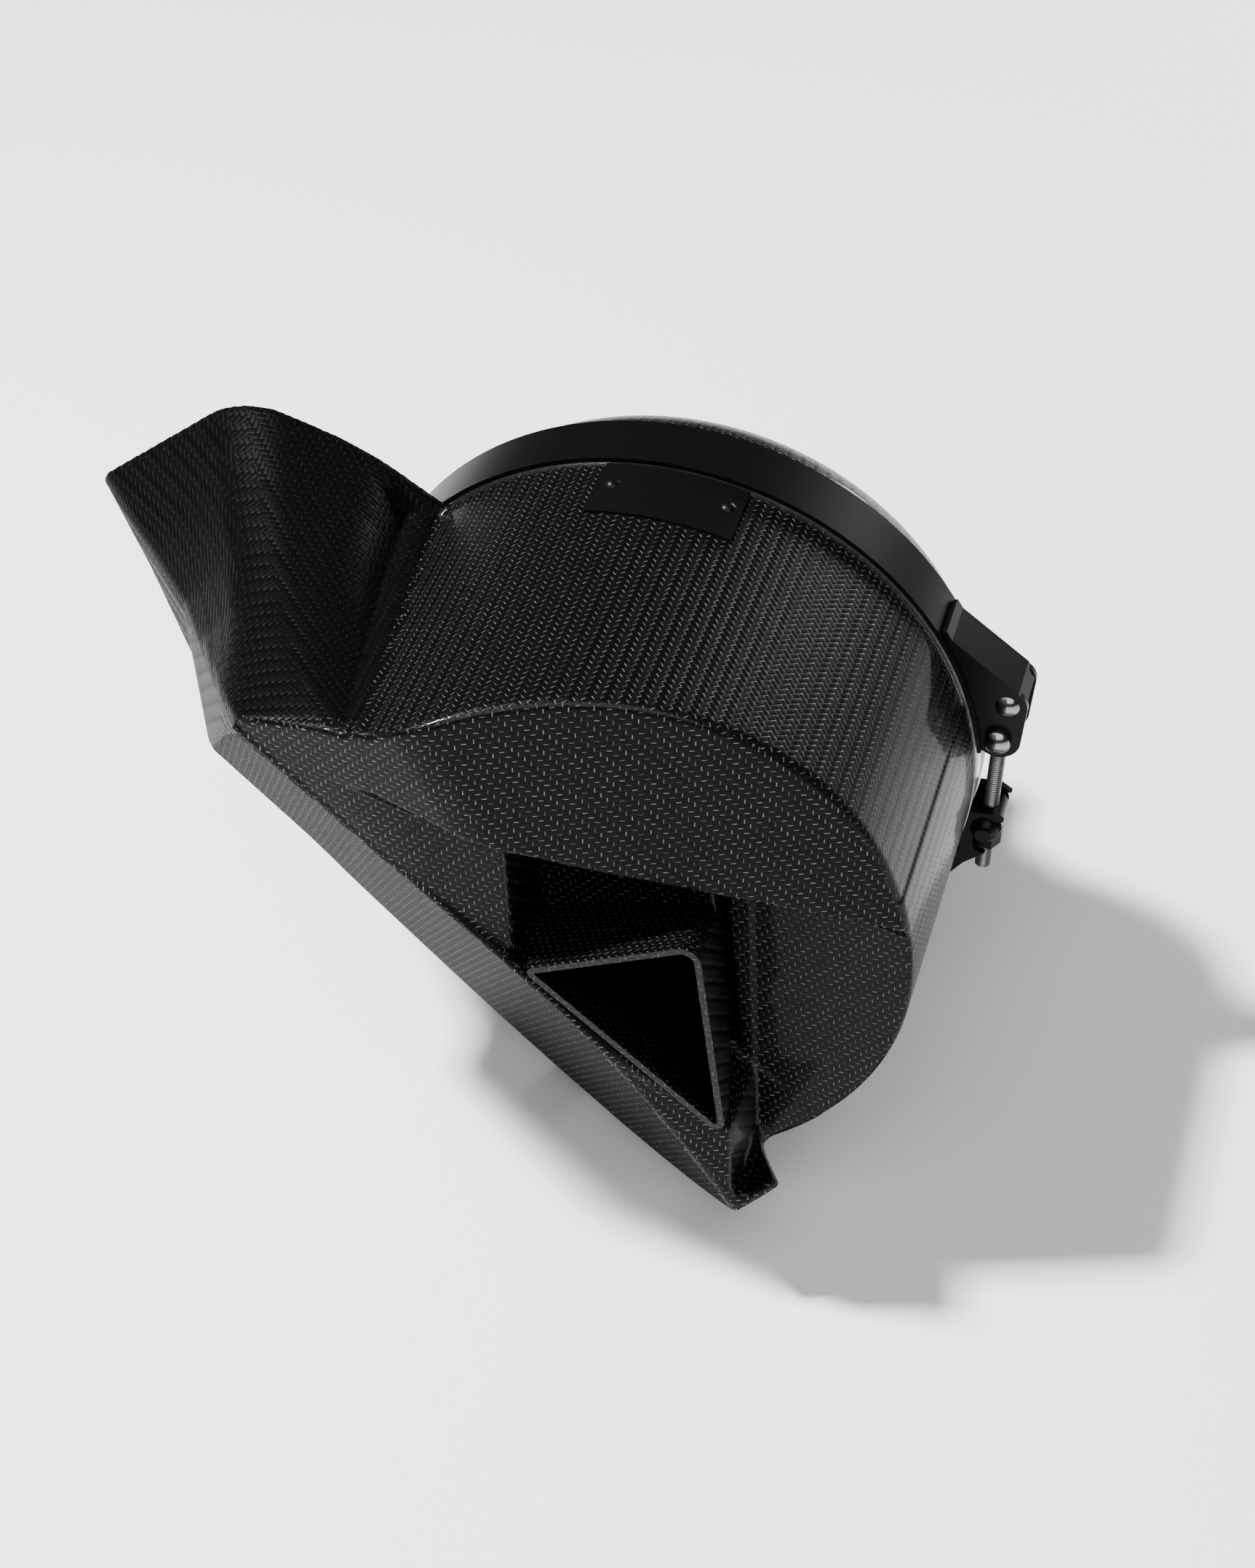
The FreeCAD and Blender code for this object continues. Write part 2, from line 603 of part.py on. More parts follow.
def upper_bracket():
    """Bracket of the upper band end, with the hinge holes of the bolt."""
    outline = [at_angle(66, BAND_OUT), (RIVET_X + 4, RIVET_Z + 7), (RIVET_X + 7.5, RIVET_Z), (PIN_X + 8.5, PIN_Z),
               (PIN_X, PIN_Z - 8.5), at_angle(84, BAND_OUT)]
    body = bracket(UPPER_STRAP, outline, [(PIN_X, PIN_Z, 8.5), (RIVET_X, RIVET_Z, 7.5)])
    web = [at_angle(62, BAND_OUT), at_angle(62, BAND_OUT + STRAP_T), (RIVET_X + 4, RIVET_Z + 7),
           (RIVET_X + 7, RIVET_Z + 2), (RIVET_X + 5, RIVET_Z + 2), (RIVET_X + 2.5, RIVET_Z + 5.2),
           at_angle(68, BAND_OUT)]
    body = joined([body, prism(web, EAR_Y[0], EAR_Y[1] + EAR_T)])
    body = body.cut(rod(PIN_R + FIT, -5, BAND_W + 5, PIN_X, PIN_Z)).cut(rod(BAND_OUT, -1, BAND_W + 1))
    return body.cut(rod(RIVET_R, -5, BAND_W + 5, RIVET_X, RIVET_Z))


def lower_bracket():
    """Bracket of the lower band end, with hooks that the barrel's necks leave downwards and outwards."""
    x, z = BARREL_AT
    low_x, low_z = along_bolt(BARREL_DROP + NUT_TRAVEL)
    jaw = JOURNAL_R + JAW_ROOM
    outline = [(x - 7, z + jaw + 4), (x + 3, z + jaw + 4), (x + 7, z + jaw + 1), (x + 8, z - jaw - 2),
               at_angle(113, BAND_OUT + 4), at_angle(124, BAND_OUT), at_angle(112, DRUM_R), at_angle(100, DRUM_R)]
    strap = pipe(BAND_OUT + STRAP_T, BAND_OUT, EAR_Y[0], EAR_Y[1] + EAR_T)
    pieces = [strap.common(sector(LOWER_STRAP[0], LOWER_STRAP[1], -1, BAND_W + 1))]
    pieces += [ear_plate(outline, y0) for y0 in EAR_Y]
    slot = prism([(x - jaw, z), (low_x - jaw, low_z), (low_x, low_z - jaw), (x + 40, low_z - jaw - 6),
                  (x + 40, z + jaw + 6), (x, z + jaw)], -5, BAND_W + 5)
    body = joined(pieces).cut(slot).cut(rod(jaw, -5, BAND_W + 5, x, z)).cut(rod(jaw, -5, BAND_W + 5, low_x, low_z))
    return body.cut(rod(BAND_IN, -1, BAND_W + 1)).cut(clamp_band())


def along_bolt(distance):
    """Point (x, z) on the bolt's axis, measured down from the upper pin."""
    a = math.radians(BOLT_LEAN)
    return PIN_X - distance * math.sin(a), PIN_Z - distance * math.cos(a)


def bolt_bar(radius, start, end):
    """Round bar on the bolt's axis."""
    x0, z0 = along_bolt(start)
    x1, z1 = along_bolt(end)
    direction = V(x1 - x0, 0, z1 - z0)
    return Part.makeCylinder(radius, end - start, V(x0, BAND_MID_Y, z0), direction)


def t_bolt():
    """Bolt with its cross bar, which turns in the upper bracket's ears."""
    bar = rod(PIN_R, -0.5, BAND_W + 0.5, PIN_X, PIN_Z)
    eye = rod(PIN_R + 1.9, BAND_MID_Y - 5, BAND_MID_Y + 5, PIN_X, PIN_Z)
    return joined([bar, eye, bolt_bar(BOLT_R, 0, BOLT_END)])


def pin_caps():
    """Domed caps riveted on the ends of the cross bar."""
    caps = []
    for y, side in ((-0.5, -1), (BAND_W + 0.5, 1)):
        ball = Part.makeSphere(CAP_DOME_R, V(PIN_X, y - side * (CAP_DOME_R - 2.6), PIN_Z))
        caps.append(ball.common(rod(20, min(y, y + side * 5), max(y, y + side * 5), PIN_X, PIN_Z)))
    return group(caps)


def bracket_rivet():
    """Spacer rivet that holds the two ears of the upper bracket."""
    shank = rod(RIVET_R, EAR_Y[0], EAR_Y[1] + EAR_T, RIVET_X, RIVET_Z)
    heads = []
    for y, side in ((EAR_Y[0], -1), (EAR_Y[1] + EAR_T, 1)):
        ball = Part.makeSphere(RIVET_HEAD_R * 1.25, V(RIVET_X, y - side * RIVET_HEAD_R * 0.75, RIVET_Z))
        heads.append(ball.common(rod(20, min(y, y + side * 5), max(y, y + side * 5), RIVET_X, RIVET_Z)))
    return joined([shank] + heads)


def barrel():
    """Cross barrel in the lower jaws, bored for the bolt."""
    x, z = BARREL_AT
    inner = EAR_Y[0] + EAR_T + GAP
    outer = EAR_Y[0] - GAP
    pieces = [rod(BARREL_R, inner, BAND_W - inner, x, z), rod(JOURNAL_R, -2, BAND_W + 2, x, z)]
    for y, side in ((outer, -1), (BAND_W - outer, 1)):
        ball = Part.makeSphere(CAP_DOME_R, V(x, y - side * (CAP_DOME_R - 3.5), z))
        pieces.append(ball.common(rod(20, min(y, y + side * 5), max(y, y + side * 5), x, z)))
    return joined(pieces).cut(bolt_bar(BOLT_R + FIT, 10, BOLT_END + 10))


def clamp_nut():
    """Flanged hexagon nut under the barrel."""
    start = NUT_START
    corner = NUT_AF / math.sqrt(3)
    x, z = along_bolt(start)
    points = [V(corner * math.cos(math.radians(a)), corner * math.sin(math.radians(a)), 0) for a in range(0, 360, 60)]
    hexagon = Part.Face(Part.makePolygon(points + [points[0]])).extrude(V(0, 0, NUT_H))
    x1, z1 = along_bolt(start + 1)
    direction = V(x1 - x, 0, z1 - z)
    hexagon.Placement = FreeCAD.Placement(V(x, BAND_MID_Y, z), FreeCAD.Rotation(V(0, 0, 1), direction))
    flange = bolt_bar(NUT_AF / 2 + 0.8, start, start + 1.4)
    return joined([hexagon, flange]).cut(bolt_bar(BOLT_R + FIT, start - 1, start + NUT_H + 1))


# ---- badge ---------------------------------------------------------------------------------------------------------
def badge_plate():
    """Thin blank plate curved to the drum."""
    plate = pipe(DRUM_R + BADGE_T, DRUM_R, BADGE_Y[0], BADGE_Y[1])
    plate = plate.common(sector(BADGE_ANGLES[0], BADGE_ANGLES[1], -200, 0))
    return plate.cut(group(badge_bars(1.6, DRUM_R - 5, 20)))


def badge_bars(radius, start, length):
    """Radial bars at the two rivet places of the badge."""
    bars = []
    for angle in BADGE_RIVETS:
        x, z = at_angle(angle, start)
        dx, dz = at_angle(angle, 1.0)
        bars.append(Part.makeCylinder(radius, length, V(x, BADGE_RIVET_Y, z), V(dx, 0, dz)))
    return bars


def badge_rivets():
    """Domed rivets of the badge."""
    rivets = []
    for angle, shank in zip(BADGE_RIVETS, badge_bars(1.5, DRUM_R, BADGE_T)):
        x, z = at_angle(angle, DRUM_R + BADGE_T - 2.2)
        ball = Part.makeSphere(3.6, V(x, BADGE_RIVET_Y, z))
        ball = ball.cut(rod(DRUM_R + BADGE_T, -200, 0))
        rivets.append(joined([shank, ball]))
    return group(rivets)


# ---- stays ---------------------------------------------------------------------------------------------------------
def stay_hole(angle, radius, y0, y1):
    """Bar at the eye of a stay."""
    x, z = at_angle(angle, STAY_EYE_R)
    return rod(radius, y0, y1, x, z)


def stay(angle):
    """Folded aluminium stay: a foot on the drum and an eye for a rubber grommet."""
    y0, y1 = STAY_Y
    foot = pipe(DRUM_R + STAY_T, DRUM_R, y0, y1).common(sector(angle - 7, angle + 7, -200, 0))
    side = STAY_W / 2
    plate = Part.makeBox(2 * side, STAY_T, STAY_EYE_R - DRUM_R + 1, V(-side, y0, DRUM_R - 1))
    plate.rotate(V(0, 0, 0), Y_AXIS, angle)
    ear = joined([plate, stay_hole(angle, side, y0, y0 + STAY_T)]).cut(rod(DRUM_R, -200, 0))
    body = joined([foot, ear])
    return body.cut(stay_hole(angle, GROMMET_R, y0 - 5, y0 + 10))


def grommet(angle):
    """Rubber grommet with a groove for the stay's eye."""
    middle = STAY_Y[0] + STAY_T / 2
    lip = STAY_T / 2 + 3
    body = stay_hole(angle, GROMMET_R, middle - lip, middle + lip)
    lips = [stay_hole(angle, GROMMET_R + 3, middle - lip, middle - STAY_T / 2),
            stay_hole(angle, GROMMET_R + 3, middle + STAY_T / 2, middle + lip)]
    return joined([body] + lips).cut(stay_hole(angle, SLEEVE_R, middle - 20, middle + 20))


def sleeve(angle):
    """Steel sleeve that the fastening screw passes through."""
    middle = STAY_Y[0] + STAY_T / 2
    half = SLEEVE_L / 2
    outer = stay_hole(angle, SLEEVE_R, middle - half, middle + half)
    return outer.cut(stay_hole(angle, SLEEVE_BORE_R, middle - 20, middle + 20))


def stay_rivets():
    """Rivet heads on the feet of the stays."""
    rivets = []
    for angle in STAY_ANGLES:
        for shift in (-4.0, 4.0):
            x, z = at_angle(angle + shift, DRUM_R + STAY_T - 1.6)
            ball = Part.makeSphere(3.4, V(x, STAY_Y[1] - 7, z))
            rivets.append(ball.cut(rod(DRUM_R + STAY_T, -200, 0)))
    return group(rivets)


# ---- build ------------------------------------------------------------------------------------------------------------
def build():
    """All nodes by name."""
    nodes = carbon_shells()
    duct = duct_volume(0, PLATE_Y - DUCT_REACH, PLATE_Y + SLOT_DEPTH)
    for name in ("front_plate", "front_cowl", "cheek_panel", "chin_panel", "drum_lower_shell"):
        nodes[name] = largest(nodes[name].cut(duct))
    nodes["valley_bead"] = valley_bead()
    nodes["inlet_duct"] = inlet_duct()
    nodes["drum_rim"] = drum_rim()
    nodes["joint_seal"] = joint_seal()
    nodes["rear_cover"] = rear_cover()
    nodes["outlet_gasket"] = outlet_gasket()
    nodes["outlet_spigot"] = outlet_spigot()
    nodes["outlet_screws"] = outlet_screws()
    nodes["outlet_nuts"] = outlet_nuts()
    nodes["filter_pleats"] = filter_pleats()
    nodes["filter_inner_mesh"] = filter_inner_mesh()
    nodes["filter_end_cap"] = filter_end_cap()
    nodes["filter_base"] = filter_base()
    band, block, screw = filter_clamp()
    nodes["filter_clamp_band"] = band
    nodes["filter_clamp_housing"] = block
    nodes["filter_clamp_screw"] = screw
    nodes["clamp_band"] = clamp_band()
    nodes["upper_bracket"] = upper_bracket()
    nodes["lower_bracket"] = lower_bracket()
    nodes["bracket_rivet"] = bracket_rivet()
    nodes["t_bolt"] = t_bolt()
    nodes["pin_caps"] = pin_caps()
    nodes["bolt_barrel"] = barrel()
    nodes["clamp_nut"] = clamp_nut()
    nodes["badge_plate"] = badge_plate()
    nodes["badge_rivets"] = badge_rivets()
    for name, angle in zip(("right", "left"), STAY_ANGLES):
        nodes["stay_" + name] = stay(angle)
        nodes["stay_grommet_" + name] = grommet(angle)
        nodes["stay_sleeve_" + name] = sleeve(angle)
    nodes["stay_rivets"] = stay_rivets()
    return nodes


for node, shape in build().items():
    shape = shape.copy()
    shape.translate(V(0, -ORIGIN_Y, 0))
    shape.exportStep("parts/" + node + ".step")
    print(node, len(shape.Solids), round(shape.Volume), shape.isValid())
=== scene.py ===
"""Air-filter housing of an engine intake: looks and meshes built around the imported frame.

The sections follow the housing as it is put together: carbon body, cover and inlet duct, clamp, outlet and
stays, seals, filter, badge, then the studio. Lengths inside the sections are millimetres on the drum's own
axis, y to the back from the front edge of the band and z up, and one function moves them into the frame.
"""
import math

import bpy
import numpy as np
import openvdb
from mathutils import Matrix, Vector


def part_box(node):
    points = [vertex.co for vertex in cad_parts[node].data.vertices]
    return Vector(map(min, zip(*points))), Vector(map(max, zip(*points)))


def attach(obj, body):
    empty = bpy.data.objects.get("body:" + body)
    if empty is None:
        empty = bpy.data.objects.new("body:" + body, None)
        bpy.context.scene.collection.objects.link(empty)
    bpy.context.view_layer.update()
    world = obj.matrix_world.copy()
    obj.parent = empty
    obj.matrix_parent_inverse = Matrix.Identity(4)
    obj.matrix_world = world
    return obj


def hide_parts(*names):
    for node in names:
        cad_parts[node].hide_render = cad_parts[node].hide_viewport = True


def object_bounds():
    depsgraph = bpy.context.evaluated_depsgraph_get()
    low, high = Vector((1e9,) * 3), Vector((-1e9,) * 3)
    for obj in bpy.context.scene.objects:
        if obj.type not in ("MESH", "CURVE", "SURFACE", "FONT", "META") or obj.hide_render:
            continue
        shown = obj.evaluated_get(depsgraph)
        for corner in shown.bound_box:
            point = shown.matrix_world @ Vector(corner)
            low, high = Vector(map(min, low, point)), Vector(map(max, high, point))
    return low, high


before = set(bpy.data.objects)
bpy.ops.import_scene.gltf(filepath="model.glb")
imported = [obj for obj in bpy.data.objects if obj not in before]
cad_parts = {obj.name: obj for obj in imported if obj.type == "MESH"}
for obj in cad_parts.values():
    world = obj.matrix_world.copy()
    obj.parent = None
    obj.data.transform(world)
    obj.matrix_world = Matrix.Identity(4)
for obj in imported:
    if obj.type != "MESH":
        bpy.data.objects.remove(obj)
cad_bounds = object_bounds()

# ---------------------------------------------------------------------------------------------------
# Carbon body. The drum, its faceted front, the chin and the side scoop are laid up in moulds and bonded
# into one shell, so every edge has a small moulded radius and every inner corner a fillet. It is worked
# out as a distance field, which rounds both, and meshed from that.
BAND_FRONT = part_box("clamp_band")[0].y * 1000
DRUM_R = 120.0
WALL = 2.5
PLATE_Y = -110.0
GRID = 1.0
FIELD_LOW = (-226, -162, -126)
FIELD_HIGH = (126, 4, 134)
# Each flat face: a point and a normal, or three points. The crease and the rib are edges seen from the front.
ROOF = ((-34.7, -155.2, 67.7), (0.313, -0.939, 0.139))
CREASE = ((-34.7, -155.2, 67.7), (113.4, -113.0, 19.4))
SHOULDER = ((-110.3, -140.0, 98.7), (-42.4, -151.4, 111.4), (-24.1, -151.4, 69.8))
RIB = ((-111.3, -140.0, 91.0), (66.0, -150.0, -66.0))
CHIN_BACK = (-69.6, -56.0, -99.3)
LIP_TIP = (72.0, -155.0, -98.0)
LIP_START = 25.0          # along the rib from the middle of the face
# The scoop's outline at stations along y, from its tip over its crest and down inside the drum.
SCOOP = [
    (20.0, [(-240.0, 82.0), (-239.5, 84.0), (-163.0, 134.0), (-112.0, 113.0), (-70.0, 82.0), (-60.0, 20.0),
            (-105.0, -14.0)]),
    (-3.0, [(-217.1, 78.5), (-216.6, 83.3), (-155.8, 128.4), (-109.6, 112.0), (-72.0, 85.0), (-60.0, 20.0),
            (-105.0, -21.1)]),
    (-12.0, [(-208.3, 74.0), (-207.9, 81.3), (-152.2, 124.9), (-104.0, 108.0), (-87.0, 83.0), (-70.0, 20.0),
             (-105.0, -24.4)]),
    (-30.0, [(-190.6, 65.0), (-190.6, 77.2), (-145.0, 118.0), (-102.0, 105.0), (-86.0, 84.0), (-70.0, 20.0),
             (-105.0, -31.0)]),
    (-60.0, [(-163.5, 50.0), (-164.2, 75.4), (-133.0, 110.0), (-98.0, 103.0), (-82.0, 88.0), (-70.0, 20.0),
             (-105.0, -41.0)]),
    (-82.5, [(-151.0, 23.7), (-148.5, 78.0), (-124.0, 106.0), (-93.0, 102.5), (-77.0, 92.0), (-66.0, 20.0),
             (-105.0, -48.0)]),
    (-120.0, [(-130.0, 3.0), (-124.6, 89.5), (-108.0, 104.0), (-83.0, 103.5), (-68.0, 96.0), (-60.0, 20.0),
              (-95.0, -44.0)]),
    (-140.0, [(-116.0, -8.0), (-110.3, 98.7), (-97.0, 103.4), (-74.0, 104.6), (-62.0, 99.0), (-60.0, 20.0),
              (-85.0, -42.0)]),
    (-165.0, [(-98.0, -20.0), (-98.0, 100.0), (-88.0, 103.5), (-70.0, 104.0), (-58.0, 99.0), (-56.0, 20.0),
              (-80.0, -40.0)]),
]
SCOOP_ROUNDING = [0.0, 2.5, 14.0, 4.0, 3.0, 3.0, 2.0]
DUCT_MOUTH = ((-10.5, 8.6), (54.6, 34.6), (62.4, -60.6))
DUCT_ROOT = ((-26.9, 0.3), (49.8, 17.0), (55.5, -82.5))
DUCT_END_Y = -96.0        # inner end of the hole for the duct
DUCT_LENGTH = 40.0
DUCT_INSET = 1.2          # the hole's edge lies this far inside the duct's outer face
FRONT = (0, -1, 0)
SEAM_ANGLE = math.radians(75)
LOWER_STEP = 0.7          # the lower half overlaps the upper by this much at the seam
RIM_LENGTH = 20.0         # full ring at the joint
RAIL = ((-89.2, 0.0, 82.6), (-61.0, -150.0, 97.0))
RAIL_R = 8.0
RAIL_HOLLOW = ((-88.0, -11.5, 84.0), (-86.8, -18.0, 86.0))
RAIL_HOLLOW_R = 5.0
POCKET_LEFT_X = -15.0     # left wall of the pocket that the duct stands in
POCKET_RIGHT_X = 62.5     # the pocket runs below the rib to the right of this
EDGE_LIP = 4.0            # wall left standing at the drum's edge round the pocket
LIP_DEPTH = 45.0          # run over which the lip's side turns
SLOT_X = 48.9             # narrow slot at the duct's right, at the height of SLOT_TOP_Z
SLOT_TOP_Z = 17.0
SLOT_SLOPE = 0.0573
SLOT_HALF = 2.2
SLOT_OFF = 2.6
SLOT_BOTTOM_Y = -92.0
SLOT_LOW_Z = -52.0
SLOT_HIGH_Z = 30.0
CHEEK_Y = -142.25         # small sunk face beside the duct, coming forward to the left
CHEEK_SLOPE = 0.05
CHEEK_INSET = 2.0
RIDGE_R = 1.6             # round ridge along the rib
RIDGE_OUT = 0.2


def in_frame(points):
    """Points in millimetres on the drum's axis, as metres in the frame."""
    return (np.asarray(points, float) + (0.0, BAND_FRONT, 0.0)) / 1000


def unit(v):
    """A vector brought to length one."""
    v = np.asarray(v, float)
    return v / np.linalg.norm(v)


def plane_field(x, y, z, point, normal):
    """Signed distance to a plane, positive on the side of its normal."""
    n = unit(normal)
    return n[0] * (x - point[0]) + n[1] * (y - point[1]) + n[2] * (z - point[2])


def facing(a, b, c, side):
    """Normal of the plane through three points, turned to a side."""
    n = unit(np.cross(np.subtract(b, a), np.subtract(c, a)))
    return n if np.dot(n, side) > 0 else -n


def both(a, b, r):
    """Where two bodies overlap, with the edge between them rounded to a radius."""
    u = np.maximum(a + r, 0)
    w = np.maximum(b + r, 0)
    return np.minimum(-r, np.maximum(a, b)) + np.sqrt(u * u + w * w)


def either(a, b, r):
    """Two bodies together, with a fillet of a radius in the corner between them."""
    return -both(-a, -b, r)


def bar_field(x, y, z, a, b, r):
    """Signed distance to a round-ended bar."""
    a = np.asarray(a, float)
    d = np.subtract(b, a)
    t = ((x - a[0]) * d[0] + (y - a[1]) * d[1] + (z - a[2]) * d[2]) / np.dot(d, d)
    t = np.clip(t, 0, 1)
    return np.sqrt((x - a[0] - t * d[0]) ** 2 + (y - a[1] - t * d[1]) ** 2 + (z - a[2] - t * d[2]) ** 2) - r


def section_field(x, z, corners, radii):
    """Signed distance in a slice to a convex outline with rounded corners, negative inside."""
    field = None
    for i, radius in enumerate(radii):
        ax, az = corners[i]
        bx, bz = corners[(i + 1) % len(corners)]
        length = math.hypot(bx - ax, bz - az)
        edge = ((x - ax) * (az - bz) + (z - az) * (bx - ax)) / length
        field = edge + 0 * x * z if field is None else both(field, edge, radius)
    return field


def scoop_field(xs, ys, zs):
    """Signed distance to the side scoop, worked slice by slice along the drum."""
    x = xs[:, None]
    z = zs[None, :]
    field = np.empty((len(xs), len(ys), len(zs)), np.float32)
    stations = [s[0] for s in SCOOP][::-1]
    shapes = np.array([s[1] for s in SCOOP])[::-1]
    for j, y in enumerate(ys):
        corners = [(np.interp(y, stations, shapes[:, k, 0]), np.interp(y, stations, shapes[:, k, 1]))
                   for k in range(shapes.shape[1])]
        field[:, j, :] = section_field(x, z, corners, SCOOP_ROUNDING)
    return field


def duct_field(xs, ys, zs):
    """Signed distance to the space that the three-cornered duct takes, a little inside its own walls."""
    x = xs[:, None, None]
    z = zs[None, None, :]
    t = (ys[None, :, None] - PLATE_Y) / DUCT_LENGTH + 1
    field = None
    for i in range(3):
        ax, az = (DUCT_MOUTH[i][k] + (DUCT_ROOT[i][k] - DUCT_MOUTH[i][k]) * t for k in (0, 1))
        bx, bz = (DUCT_MOUTH[i - 2][k] + (DUCT_ROOT[i - 2][k] - DUCT_MOUTH[i - 2][k]) * t for k in (0, 1))
        edge = ((x - ax) * (az - bz) + (z - az) * (bx - ax)) / np.hypot(bx - ax, bz - az)
        field = edge if field is None else np.maximum(field, edge)
    return np.maximum(field + DUCT_INSET, ys[None, :, None] - DUCT_END_Y)


def upright(x, y, z, edge, side):
    """Distance to the plane through an edge and the drum's direction, positive on a side of it in z."""
    n = unit(np.cross(np.subtract(edge[1], edge[0]), (0, 1, 0)))
    return plane_field(x, y, z, edge[0], n if n[2] * side > 0 else -n)


def chin_field(x, y, z):
    """Signed distance to the space behind the chin's bevel and the lip that it flares into."""
    chin = plane_field(x, y, z, RIB[0], facing(RIB[0], RIB[1], CHIN_BACK, FRONT))
    along = unit(np.subtract(RIB[1], RIB[0]))
    down = np.subtract(CHIN_BACK, RIB[0])
    across = unit(down - along * np.dot(down, along))
    hinge = np.add((0.0, RIB[1][1], 0.0), along * LIP_START)
    lip = plane_field(x, y, z, hinge, facing(hinge, hinge + across, LIP_TIP, FRONT))
    return either(chin, lip, 12.0)


def pocket_fields(x, y, z, radius):
    """Signed distances to the pocket above the rib and to the pocket below it at the right."""
    pocket = both(y - PLATE_Y + 0 * x + 0 * z, upright(x, y, z, CREASE, 1), 4.0)
    pocket = both(pocket, POCKET_LEFT_X - x, 4.0)
    above = both(pocket, upright(x, y, z, RIB, -1), 3.0)
    t = np.clip((PLATE_Y - y) / LIP_DEPTH, 0, 1)
    outside_lip = -(0.848 - 0.153 * t) * x - (0.53 + 0.189 * t) * z
    edge = np.minimum(radius - DRUM_R + EDGE_LIP, outside_lip)
    below = both(both(pocket, POCKET_RIGHT_X - x, 1.5), edge, 8.0)
    return above, below


def slot_field(x, y, z):
    """Signed distance to the narrow slot at the duct's right wall."""
    middle = SLOT_X + (SLOT_TOP_Z - z) * SLOT_SLOPE + SLOT_OFF
    slot = both(np.abs(x - middle) - SLOT_HALF, y - SLOT_BOTTOM_Y + 0 * x, 0.8)
    return np.maximum(both(slot, SLOT_LOW_Z - z, 2.0), z - SLOT_HIGH_Z)


def cheek_field(x, y, z):
    """Signed distance to the space in front of the small sunk face beside the duct."""
    cheek = both(y - CHEEK_Y - CHEEK_SLOPE * x + 0 * z, upright(x, y, z, CREASE, 1), 3.0)
    return both(cheek, upright(x, y, z, RIB, -1) + CHEEK_INSET, 2.0)


def body_field(xs, ys, zs):
    """Signed distance to the solid body that the carbon wall is laid on."""
    x = xs[:, None, None]
    y = ys[None, :, None]
    z = zs[None, None, :]
    radius = np.sqrt(x * x + z * z)
    lower_half = np.abs(np.arctan2(x, z) - SEAM_ANGLE - math.pi / 2) < math.pi / 2
    drum = radius - DRUM_R - LOWER_STEP * lower_half + 0 * y
    body = either(drum, scoop_field(xs, ys, zs), 3.0)
    body = either(body, bar_field(x, y, z, *RAIL, RAIL_R), 1.5)
    body = both(body, -bar_field(x, y, z, *RAIL_HOLLOW, RAIL_HOLLOW_R), 0.8)

    roof = plane_field(x, y, z, *ROOF)
    face = both(roof, plane_field(x, y, z, SHOULDER[0], facing(*SHOULDER, FRONT)), 4.0)
    face = both(face, chin_field(x, y, z), 2.0)
    body = both(body, face, 2.6)

    above, below = pocket_fields(x, y, z, radius)
    body = both(body, -above, 2.2)
    body = both(body, -below, 1.6)
    body = both(body, -slot_field(x, y, z), 1.0)
    body = both(body, -cheek_field(x, y, z), 2.5)
    ridge = bar_field(x, y, z, np.subtract(RIB[0], (0, RIDGE_OUT, 0)), RIB[1], RIDGE_R)
    return either(body, np.maximum(ridge, face - 1.2), 1.2)


def shell_mesh(name, low, high, step, make_field):
    """Mesh of the zero surface of a distance field, in the frame."""
    xs, ys, zs = (np.arange(a, b + step, step, dtype=np.float32) for a, b in zip(low, high))
    values = make_field(xs, ys, zs).astype(np.float32)
    grid = openvdb.FloatGrid(4 * step)
    grid.copyFromArray(np.ascontiguousarray(np.clip(values, -4 * step, 4 * step)))
    points, triangles, quads = grid.convertToPolygons(0.0, 0.0)
    points = points * step + np.array([xs[0], ys[0], zs[0]])
    mesh = bpy.data.meshes.new(name)
    faces = [tuple(f) for f in quads] + [tuple(f) for f in triangles]
    mesh.from_pydata(in_frame(points).tolist(), [], faces)
    mesh.update()
    piece = bpy.data.objects.new(name, mesh)
    bpy.context.scene.collection.objects.link(piece)
    return piece


def carbon_wall(xs, ys, zs):
    """The carbon wall itself: the body less its inside, open at the joint and at the scoop's mouth."""
    y = ys[None, :, None]
    body = body_field(xs, ys, zs)
    wall = np.maximum(body, -(body + WALL))
    radius = np.sqrt(xs[:, None, None] ** 2 + zs[None, None, :] ** 2)
    ring = np.maximum(np.abs(radius - DRUM_R + WALL / 2) - WALL / 2, -RIM_LENGTH - y)
    wall = np.maximum(np.minimum(wall, ring), y)
    return np.maximum(wall, -duct_field(xs, ys, zs))


body = shell_mesh("carbon_body", FIELD_LOW, FIELD_HIGH, GRID, carbon_wall)
# How the cloth lies on each flat face: the face's normal, and the directions of its two sets of tows.
CLOTH = [
    ((0.31, -0.94, 0.14), (1, 0, 0), (0, 0, 1)),
    ((0.0, -1.0, 0.0), (1, 0, 0), (0, 0, -1)),
    ((0.0, 1.0, 0.0), (1, 0, 0), (0, 0, 1)),
    ((-0.45, -0.75, 0.48), (0.707, 0, 0.707), (-0.707, 0, 0.707)),
    ((-0.47, -0.75, -0.47), (0.707, 0, 0.707), (-0.707, 0, 0.707)),
    ((-0.25, 0.0, 0.97), (0.707, 0.707, 0), (-0.707, 0.707, 0)),
    ((-0.7, -0.3, -0.65), (0.707, 0.707, 0), (0.707, -0.707, 0)),
    ((1.0, 0.0, 0.0), (0, 1, 0), (0, 0, 1)),
    ((0.0, 0.0, -1.0), (1, 0, 0), (0, 1, 0)),
]


